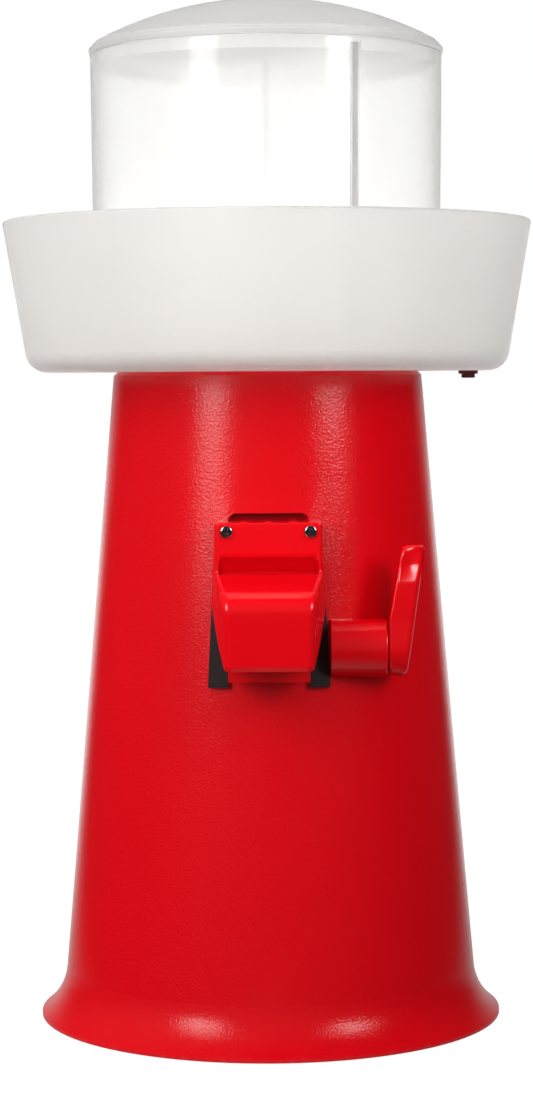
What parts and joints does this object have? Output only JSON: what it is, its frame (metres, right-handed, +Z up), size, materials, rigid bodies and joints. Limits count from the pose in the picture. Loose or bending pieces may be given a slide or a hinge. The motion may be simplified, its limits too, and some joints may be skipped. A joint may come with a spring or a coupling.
{
  "type": "electric drink dispenser",
  "caption": "Free-standing electric drink dispenser: flared red stand, ice tub, lidded clear reservoir with three chambers, hooded tap with a thumb lever and a peristaltic pump inside.",
  "frame": {"origin": "centre of the stand on the table, on the middle rubber foot", "axes": "+Z up, -Y towards the user and the tap, +X to the right with the lever"},
  "size_m": [0.2952, 0.3101, 0.57],
  "materials": {
    "red_grained_plastic": "fine grain, satin gloss",
    "red_gloss_plastic": "smooth, high gloss",
    "black_plastic": "matte moulded",
    "grey_plastic": "matte moulded",
    "white_plastic": "satin moulded",
    "white_acetal": "turned, satin",
    "frosted_plastic": "frosted, translucent",
    "clear_plastic": "clear, slightly hazy",
    "lid_plastic": "smoky translucent, smooth",
    "steel": "turned or zinc plated",
    "bright_steel": "polished",
    "bronze": "sintered, oiled",
    "black_rubber": "matte",
    "dark_red_rubber": "satin",
    "clear_silicone": "milky, soft"
  },
  "bodies": {
    "stand": {"tower_shell": "red_grained_plastic", "base_plate": "black_plastic", "rubber_feet": "black_rubber", "base_screws": "steel", "tap_chassis": "black_plastic", "chassis_screws": "steel", "tap_hood": "red_gloss_plastic", "hood_screws": "bright_steel", "nozzle_block": "red_gloss_plastic", "nozzle_block_screws": "steel", "lever_housing": "red_gloss_plastic", "housing_screws": "steel", "lever_bushes": "bronze", "lever_return_spring": "steel", "microswitch": "black_plastic", "switch_screws": "steel", "pump_frame": "grey_plastic", "pump_bushes": "bronze", "gearbox": "grey_plastic", "motor": "steel", "motor_screws": "steel", "left_tube": "clear_silicone", "centre_tube": "clear_silicone", "right_tube": "clear_silicone", "outlet_couplers": "white_plastic", "coupler_nuts": "white_plastic", "power_inlet": "black_plastic", "inlet_nut": "steel", "inlet_lead": "black_rubber", "motor_lead": "black_rubber"},
    "lever": {"lever": "red_gloss_plastic", "lever_shaft": "steel", "switch_cam": "white_acetal"},
    "switch_plunger": {"switch_plunger": "white_acetal"},
    "pump_rotor": {"pump_rotor": "white_acetal", "pump_shaft": "steel", "roller_axles": "steel"},
    "pump_roller_1": {"pump_roller_1": "white_acetal"},
    "pump_roller_2": {"pump_roller_2": "white_acetal"},
    "pump_roller_3": {"pump_roller_3": "white_acetal"},
    "pump_roller_4": {"pump_roller_4": "white_acetal"},
    "ice_tub": {"ice_tub": "frosted_plastic", "tub_seals": "clear_silicone"},
    "drain_plug": {"drain_plug": "dark_red_rubber"},
    "reservoir": {"reservoir": "clear_plastic", "spigot_seals": "clear_silicone"},
    "lid": {"lid": "lid_plastic"}
  },
  "joints": [
    {"name": "lever_pull", "type": "hinge", "parent": "stand", "child": "lever", "pos_m": [0.0636, -0.092, 0.216], "axis": [1, 0, 0], "range_deg": [0, 45], "stiffness_Nm_per_rad": 0.05, "springref_deg": -20.05},
    {"name": "plunger_slide", "type": "slide", "parent": "stand", "child": "switch_plunger", "axis": [0, 1, 0], "range_m": [0, 0.00091]},
    {"name": "pump_spin", "type": "hinge", "parent": "stand", "child": "pump_rotor", "pos_m": [0, -0.015, 0.256], "axis": [-1, 0, 0], "continuous": true},
    {"name": "roller_1_spin", "type": "hinge", "parent": "pump_rotor", "child": "pump_roller_1", "pos_m": [0, -0.00298, 0.26802], "axis": [-1, 0, 0], "continuous": true},
    {"name": "roller_2_spin", "type": "hinge", "parent": "pump_rotor", "child": "pump_roller_2", "pos_m": [0, -0.02702, 0.26802], "axis": [-1, 0, 0], "continuous": true},
    {"name": "roller_3_spin", "type": "hinge", "parent": "pump_rotor", "child": "pump_roller_3", "pos_m": [0, -0.02702, 0.24398], "axis": [-1, 0, 0], "continuous": true},
    {"name": "roller_4_spin", "type": "hinge", "parent": "pump_rotor", "child": "pump_roller_4", "pos_m": [0, -0.00298, 0.24398], "axis": [-1, 0, 0], "continuous": true},
    {"name": "tub_lift", "type": "slide", "parent": "stand", "child": "ice_tub", "axis": [0, 0, 1], "range_m": [0, 0.12]},
    {"name": "drain_pull", "type": "slide", "parent": "ice_tub", "child": "drain_plug", "axis": [0, 0, -1], "range_m": [0, 0.02]},
    {"name": "reservoir_lift", "type": "slide", "parent": "ice_tub", "child": "reservoir", "axis": [0, 0, 1], "range_m": [0, 0.15]},
    {"name": "lid_lift", "type": "slide", "parent": "reservoir", "child": "lid", "axis": [0, 0, 1], "range_m": [0, 0.08]}
  ],
  "couplings": [
    {"joint": "roller_1_spin", "follows": "pump_spin", "ratio": -4.0909},
    {"joint": "roller_2_spin", "follows": "pump_spin", "ratio": -4.0909},
    {"joint": "roller_3_spin", "follows": "pump_spin", "ratio": -4.0909},
    {"joint": "roller_4_spin", "follows": "pump_spin", "ratio": -4.0909},
    {"joint": "plunger_slide", "follows": "lever_pull", "m_per_rad": 0.0011459}
  ]
}
